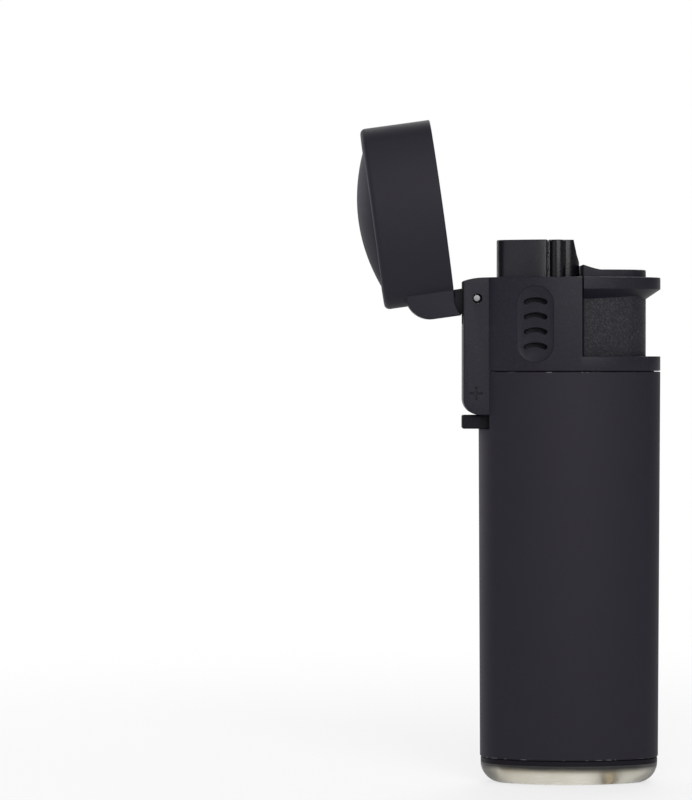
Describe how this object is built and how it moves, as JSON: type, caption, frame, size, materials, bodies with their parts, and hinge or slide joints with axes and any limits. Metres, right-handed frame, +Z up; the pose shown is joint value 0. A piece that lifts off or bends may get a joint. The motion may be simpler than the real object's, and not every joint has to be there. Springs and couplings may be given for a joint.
{
  "type": "jet lighter",
  "caption": "Refillable pocket jet lighter with an oval body, a clear base, a flip cap on a side hinge, a sprung thumb button, a flame adjuster tab and a vented head.",
  "frame": {"origin": "middle of the flat standing face of the clear base", "axes": "+Z up along the body, +X across the body away from the hinge, -Y towards the front, the side the picture shows"},
  "size_m": [0.0417, 0.013, 0.0911],
  "materials": {
    "soft_black": "soft-touch coating, nearly black",
    "hard_black": "moulded plastic with a fine satin grain",
    "gloss_black": "bare moulded plastic, glossy",
    "clear_plastic": "clear moulded plastic, faintly warm",
    "brass": "turned",
    "steel": "bright drawn wire and pressed strip",
    "rubber": "matt",
    "white_plastic": "natural moulded plastic and fibre",
    "ceramic": "unglazed"
  },
  "bodies": {
    "lighter_body": {"body_sleeve": "soft_black", "fuel_tank": "clear_plastic", "tank_base": "clear_plastic", "refill_valve": "brass", "refill_seal": "rubber", "refill_spring": "steel", "fuel_wick": "white_plastic", "valve_body": "brass", "valve_seal": "rubber", "valve_spring": "steel", "mechanism_frame": "hard_black", "gas_lever_pin": "steel", "gas_hose": "rubber", "mixer_tube": "brass", "jet_orifice": "brass", "burner_tube": "steel", "flame_holder": "steel", "burner_cover": "hard_black", "electrode_holder": "gloss_black", "spark_electrode": "steel", "ignition_wire": "rubber", "piezo_case": "white_plastic", "piezo_crystal": "ceramic", "piezo_anvil": "steel", "piezo_spring": "steel", "hammer_spring": "steel", "head_housing": "hard_black", "hinge_pin": "steel", "hinge_leaf_spring": "steel"},
    "cap": {"cap_shell": "soft_black", "cap_dome": "soft_black", "hinge_knuckle": "gloss_black"},
    "button": {"thumb_button": "hard_black", "piezo_plunger": "white_plastic"},
    "hammer": {"piezo_hammer": "steel"},
    "fork": {"gas_lever": "steel"},
    "nozzle": {"gas_nozzle": "brass", "valve_pad": "rubber"},
    "adjuster": {"adjuster_lever": "hard_black"},
    "poppet": {"refill_poppet": "brass"}
  },
  "joints": [
    {"name": "cap_hinge", "type": "hinge", "parent": "lighter_body", "child": "cap", "pos_m": [-0.01275, 0, 0.0665], "axis": [0, -1, 0], "range_deg": [-98, 0], "deforming": ["hinge_leaf_spring"]},
    {"name": "button_press", "type": "slide", "parent": "lighter_body", "child": "button", "axis": [0, 0, -1], "range_m": [0, 0.004], "stiffness_N_per_m": 1500, "deforming": ["piezo_spring", "hammer_spring"]},
    {"name": "hammer_strike", "type": "slide", "parent": "lighter_body", "child": "hammer", "axis": [0, 0, -1], "range_m": [0, 0.0019]},
    {"name": "fork_tilt", "type": "hinge", "parent": "lighter_body", "child": "fork", "pos_m": [-0.001, 0, 0.0513], "axis": [0, 1, 0], "range_deg": [0, 7.7]},
    {"name": "nozzle_lift", "type": "slide", "parent": "lighter_body", "child": "nozzle", "axis": [0, 0, 1], "range_m": [0, 0.0009], "deforming": ["valve_spring", "gas_hose"]},
    {"name": "adjuster_swing", "type": "hinge", "parent": "lighter_body", "child": "adjuster", "pos_m": [-0.0058, 0, 0.0496], "axis": [0, 0, 1], "range_deg": [-17, 17]},
    {"name": "refill_push", "type": "slide", "parent": "lighter_body", "child": "poppet", "axis": [0, 0, 1], "range_m": [0, 0.0008], "stiffness_N_per_m": 400, "deforming": ["refill_spring"]}
  ],
  "couplings": [
    {"joint": "hammer_strike", "follows": "button_press", "ratio": 0.474},
    {"joint": "fork_tilt", "follows": "button_press", "rad_per_m": 33.5},
    {"joint": "nozzle_lift", "follows": "button_press", "ratio": 0.2249}
  ]
}
